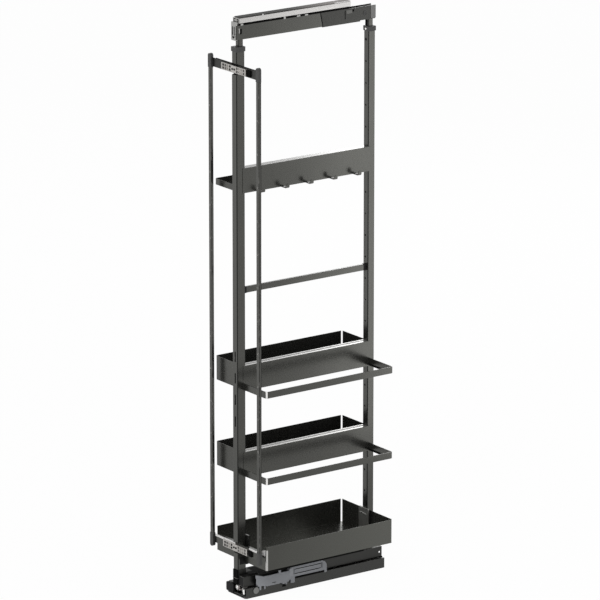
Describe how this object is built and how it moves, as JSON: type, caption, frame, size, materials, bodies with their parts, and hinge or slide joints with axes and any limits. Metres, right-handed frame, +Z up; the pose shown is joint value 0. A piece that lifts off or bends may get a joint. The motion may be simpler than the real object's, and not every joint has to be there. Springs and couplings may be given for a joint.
{
  "type": "pull-out pantry frame",
  "caption": "Tall pull-out pantry frame: baskets, towel rails and hooks on a roller runner with soft close, a telescopic top guide and an adjustable door carrier.",
  "frame": {"origin": "on the cabinet floor under the base rail, midway between the uprights", "axes": "+Z up, the frame pulls out towards -Y, +X to the towel rails"},
  "size_m": [0.253, 0.5096, 1.725],
  "materials": {
    "anthracite_metal": "satin",
    "dark_steel": "satin",
    "black_plastic": "matte",
    "grey_plastic": "satin",
    "bright_steel": "polished",
    "silver_aluminium": "satin",
    "silver_diecast": "cast"
  },
  "bodies": {
    "base": {"base_rail": "dark_steel", "rear_stop": "black_plastic", "base_roller_bolts": "bright_steel", "damper_housing": "grey_plastic", "damper_cover": "grey_plastic", "damper_cylinder": "bright_steel"},
    "base_roller_pair": {"base_rollers": "bright_steel"},
    "carriage": {"carriage_rails": "dark_steel", "carriage_plates": "dark_steel", "carriage_cap": "black_plastic", "front_axle": "bright_steel"},
    "front_roller_set": {"front_rollers": "bright_steel"},
    "carriage_roller_pair": {"carriage_rollers": "bright_steel"},
    "beam_roller_pair": {"beam_rollers": "bright_steel"},
    "shuttle": {"damper_shuttle": "black_plastic", "damper_rod": "bright_steel"},
    "catch": {"damper_catch": "black_plastic"},
    "door_adjusters": {"upper_adjuster": "silver_diecast", "lower_adjuster": "silver_diecast", "adjuster_screws": "dark_steel"},
    "door_carrier": {"upper_door_bar": "anthracite_metal", "lower_door_bar": "anthracite_metal", "left_door_rod": "anthracite_metal", "right_door_rod": "anthracite_metal", "upper_connectors": "black_plastic", "lower_connectors": "black_plastic"},
    "top": {"front_inner_tube": "anthracite_metal", "rear_inner_tube": "anthracite_metal", "top_channel": "anthracite_metal", "top_cover": "anthracite_metal", "top_front_cap": "silver_diecast", "top_rear_cap": "grey_plastic"},
    "ceiling": {"ceiling_rail": "dark_steel"},
    "telescope": {"telescope_rail": "silver_aluminium"},
    "frame": {"bottom_beam": "dark_steel", "beam_brackets": "dark_steel", "striker_pin": "bright_steel", "front_foot": "black_plastic", "front_upright": "anthracite_metal", "rear_upright": "anthracite_metal", "front_collar": "black_plastic", "rear_collar": "black_plastic", "collar_screws": "bright_steel", "bottom_basket": "anthracite_metal", "front_hanger": "dark_steel", "rear_hanger": "dark_steel", "lower_basket": "anthracite_metal", "lower_basket_beam": "anthracite_metal", "upper_basket": "anthracite_metal", "upper_basket_beam": "anthracite_metal", "lower_towel_rail": "anthracite_metal", "upper_towel_rail": "anthracite_metal", "hook_shelf": "anthracite_metal", "hook_panel": "anthracite_metal", "hooks": "anthracite_metal", "crossbar": "anthracite_metal", "crossbar_plugs": "black_plastic", "upper_adjuster_plate": "dark_steel", "lower_adjuster_plate": "dark_steel"}
  },
  "joints": [
    {"name": "frame_slide", "type": "slide", "parent": "base", "child": "frame", "axis": [0, -1, 0], "range_m": [0, 0.45]},
    {"name": "carriage_slide", "type": "slide", "parent": "base", "child": "carriage", "axis": [0, -1, 0], "range_m": [0, 0.225]},
    {"name": "base_roller_spin", "type": "hinge", "parent": "base", "child": "base_roller_pair", "pos_m": [0, -0.2095, 0.0205], "axis": [1, 0, 0], "range_deg": [0, 1720]},
    {"name": "front_roller_spin", "type": "hinge", "parent": "carriage", "child": "front_roller_set", "pos_m": [0, -0.235, 0.023], "axis": [1, 0, 0], "range_deg": [0, 1230]},
    {"name": "carriage_roller_spin", "type": "hinge", "parent": "carriage", "child": "carriage_roller_pair", "pos_m": [0, 0.2065, 0.0182], "axis": [1, 0, 0], "range_deg": [0, 1290]},
    {"name": "beam_roller_spin", "type": "hinge", "parent": "frame", "child": "beam_roller_pair", "pos_m": [0, 0.2365, 0.0207], "axis": [1, 0, 0], "range_deg": [0, 1842]},
    {"name": "shuttle_slide", "type": "slide", "parent": "base", "child": "shuttle", "axis": [0, -1, 0], "range_m": [0, 0.05], "stiffness_N_per_m": 300, "springref_m": -0.02},
    {"name": "catch_tilt", "type": "hinge", "parent": "shuttle", "child": "catch", "pos_m": [0.0451, -0.106, 0.0385], "axis": [-1, 0, 0], "range_deg": [0, 15]},
    {"name": "door_height_adjust", "type": "slide", "parent": "frame", "child": "door_adjusters", "axis": [0, 0, 1], "range_m": [-0.003, 0.003]},
    {"name": "door_side_adjust", "type": "slide", "parent": "door_adjusters", "child": "door_carrier", "axis": [1, 0, 0], "range_m": [-0.003, 0.003]},
    {"name": "top_lift", "type": "slide", "parent": "frame", "child": "top", "axis": [0, 0, 1], "range_m": [0, 0.2]},
    {"name": "ceiling_lift", "type": "slide", "parent": "base", "child": "ceiling", "axis": [0, 0, 1], "range_m": [0, 0.2]},
    {"name": "telescope_slide", "type": "slide", "parent": "ceiling", "child": "telescope", "axis": [0, -1, 0], "range_m": [0, 0.225]}
  ],
  "couplings": [
    {"joint": "carriage_slide", "follows": "frame_slide", "ratio": 0.5},
    {"joint": "base_roller_spin", "follows": "frame_slide", "rad_per_m": 66.667},
    {"joint": "front_roller_spin", "follows": "frame_slide", "rad_per_m": 47.619},
    {"joint": "carriage_roller_spin", "follows": "frame_slide", "rad_per_m": 50},
    {"joint": "beam_roller_spin", "follows": "frame_slide", "rad_per_m": 71.429},
    {"joint": "telescope_slide", "follows": "frame_slide", "ratio": 0.5},
    {"joint": "ceiling_lift", "follows": "top_lift", "ratio": 1}
  ]
}
